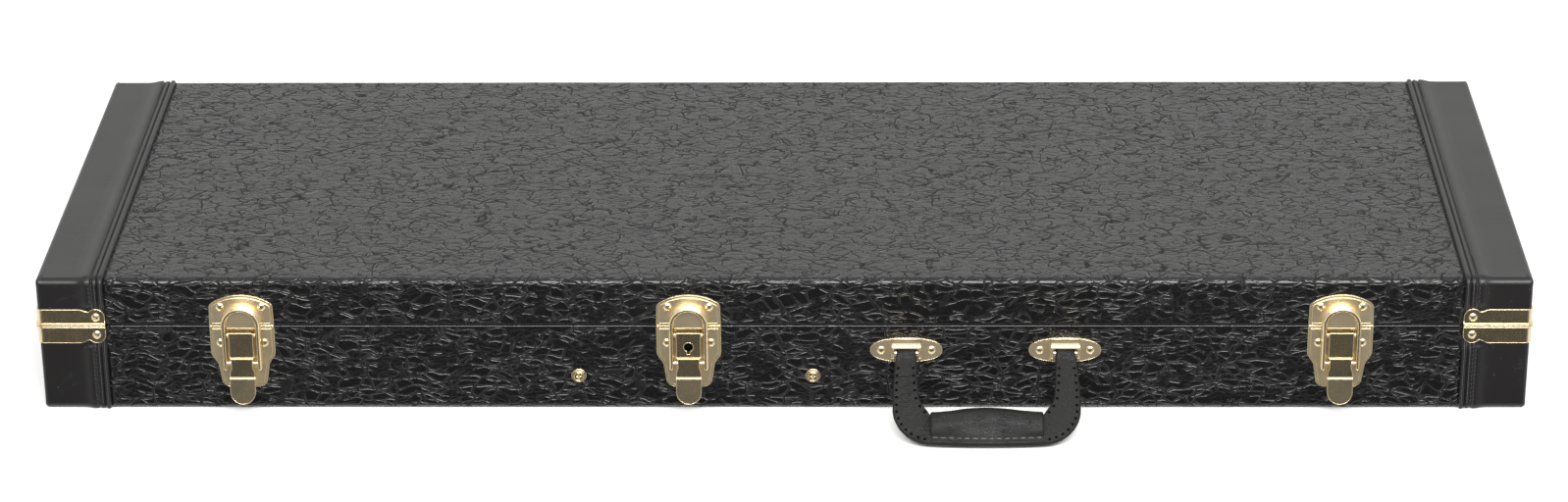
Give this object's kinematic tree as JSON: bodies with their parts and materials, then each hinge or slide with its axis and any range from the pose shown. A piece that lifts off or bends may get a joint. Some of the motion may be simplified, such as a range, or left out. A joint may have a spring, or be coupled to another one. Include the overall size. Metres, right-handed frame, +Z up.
{
  "type": "guitar case",
  "caption": "Rectangular hard case for an electric guitar, with a hinged lid, draw latches, a carrying handle and a padded inside with an accessory pocket.",
  "frame": {"origin": "centre of the underside of the base", "axes": "+X along the length towards the handle and the guitar's body, +Y towards the hinges, +Z up through the lid"},
  "size_m": [1.0432, 0.436, 0.102],
  "materials": {
    "plywood": "raw sawn plywood",
    "grained_vinyl": "black crinkle-grained vinyl",
    "smooth_vinyl": "smooth satin black vinyl",
    "plush": "black plush",
    "foam": "foam under plush",
    "ribbon": "woven ribbon",
    "gold_plate": "polished pale gold plating",
    "satin_gold": "satin pale gold plating",
    "lock_steel": "blackened steel",
    "spring_steel": "rolled steel strip",
    "handle_leather": "grained charcoal-black leather"
  },
  "bodies": {
    "base": {"base_boards": "plywood", "base_bottom_panel": "plywood", "base_covering": "grained_vinyl", "base_end_cover_left": "smooth_vinyl", "base_end_cover_right": "smooth_vinyl", "base_welts": "smooth_vinyl", "base_wall_lining": "plush", "rim_tongue": "plush", "base_floor_pad": "foam", "dividers": "plush", "pocket_wall": "plush", "neck_rest": "foam", "neck_side_block": "foam", "body_pads": "foam", "latch_plate_left": "gold_plate", "latch_plate_middle": "gold_plate", "latch_plate_right": "gold_plate", "latch_pivot_pins": "gold_plate", "handle_bracket_left": "satin_gold", "handle_bracket_right": "satin_gold", "handle_pins": "satin_gold", "base_rivets": "gold_plate", "divider_screws": "gold_plate", "cup_washers": "gold_plate", "base_band_left": "gold_plate", "base_band_right": "gold_plate", "hinge_base_leaves": "gold_plate", "hinge_pins": "gold_plate", "hinge_base_screws": "gold_plate"},
    "lid": {"lid_boards": "plywood", "lid_top_panel": "plywood", "lid_covering": "grained_vinyl", "lid_end_cover_left": "smooth_vinyl", "lid_end_cover_right": "smooth_vinyl", "lid_welts": "smooth_vinyl", "lid_wall_lining": "plush", "lid_pad": "foam", "keeper_plate_left": "gold_plate", "keeper_plate_middle": "gold_plate", "keeper_plate_right": "gold_plate", "lid_rivets": "gold_plate", "lid_band_left": "gold_plate", "lid_band_right": "gold_plate", "hinge_lid_leaves": "gold_plate", "hinge_lid_screws": "gold_plate"},
    "pocket_lid": {"pocket_lid": "plush", "pocket_pull_tab": "ribbon"},
    "handle": {"handle_strap": "handle_leather", "handle_core": "spring_steel", "handle_grip": "handle_leather"},
    "lock": {"lock_cylinder": "lock_steel"},
    "lever_left": {"latch_lever_left": "gold_plate"},
    "bail_left": {"latch_bail_left": "gold_plate"},
    "lever_middle": {"latch_lever_middle": "gold_plate"},
    "bail_middle": {"latch_bail_middle": "gold_plate"},
    "lever_right": {"latch_lever_right": "gold_plate"},
    "bail_right": {"latch_bail_right": "gold_plate"}
  },
  "joints": [
    {"name": "lid_hinge", "type": "hinge", "parent": "base", "child": "lid", "pos_m": [0, 0.1858, 0.065], "axis": [-1, 0, 0], "range_deg": [0, 100]},
    {"name": "pocket_lid_hinge", "type": "hinge", "parent": "base", "child": "pocket_lid", "pos_m": [-0.061, -0.0445, 0.0548], "axis": [-1, 0, 0], "range_deg": [0, 85]},
    {"name": "handle_swing", "type": "hinge", "parent": "base", "child": "handle", "pos_m": [0.1415, -0.1885, 0.0463], "axis": [-1, 0, 0], "range_deg": [-45, 65]},
    {"name": "lever_left_lift", "type": "hinge", "parent": "base", "child": "lever_left", "pos_m": [-0.3775, -0.1891, 0.0605], "axis": [-1, 0, 0], "range_deg": [0, 150]},
    {"name": "bail_left_swing", "type": "hinge", "parent": "lever_left", "child": "bail_left", "pos_m": [-0.3775, -0.1885, 0.0387], "axis": [-1, 0, 0], "range_deg": [-190, 0]},
    {"name": "lever_middle_lift", "type": "hinge", "parent": "base", "child": "lever_middle", "pos_m": [-0.0655, -0.1891, 0.0605], "axis": [-1, 0, 0], "range_deg": [0, 150]},
    {"name": "bail_middle_swing", "type": "hinge", "parent": "lever_middle", "child": "bail_middle", "pos_m": [-0.0655, -0.1885, 0.0387], "axis": [-1, 0, 0], "range_deg": [-190, 0]},
    {"name": "lever_right_lift", "type": "hinge", "parent": "base", "child": "lever_right", "pos_m": [0.388, -0.1891, 0.0605], "axis": [-1, 0, 0], "range_deg": [0, 150]},
    {"name": "bail_right_swing", "type": "hinge", "parent": "lever_right", "child": "bail_right", "pos_m": [0.388, -0.1885, 0.0387], "axis": [-1, 0, 0], "range_deg": [-190, 0]},
    {"name": "lock_turn", "type": "hinge", "parent": "lever_middle", "child": "lock", "pos_m": [-0.0655, -0.1875, 0.0524], "axis": [0, -1, 0], "range_deg": [0, 90]}
  ],
  "couplings": [
    {"joint": "pocket_lid_hinge", "follows": "lid_hinge", "ratio": 0.85},
    {"joint": "bail_left_swing", "follows": "lever_left_lift", "ratio": -1.25},
    {"joint": "bail_middle_swing", "follows": "lever_middle_lift", "ratio": -1.25},
    {"joint": "bail_right_swing", "follows": "lever_right_lift", "ratio": -1.25}
  ]
}
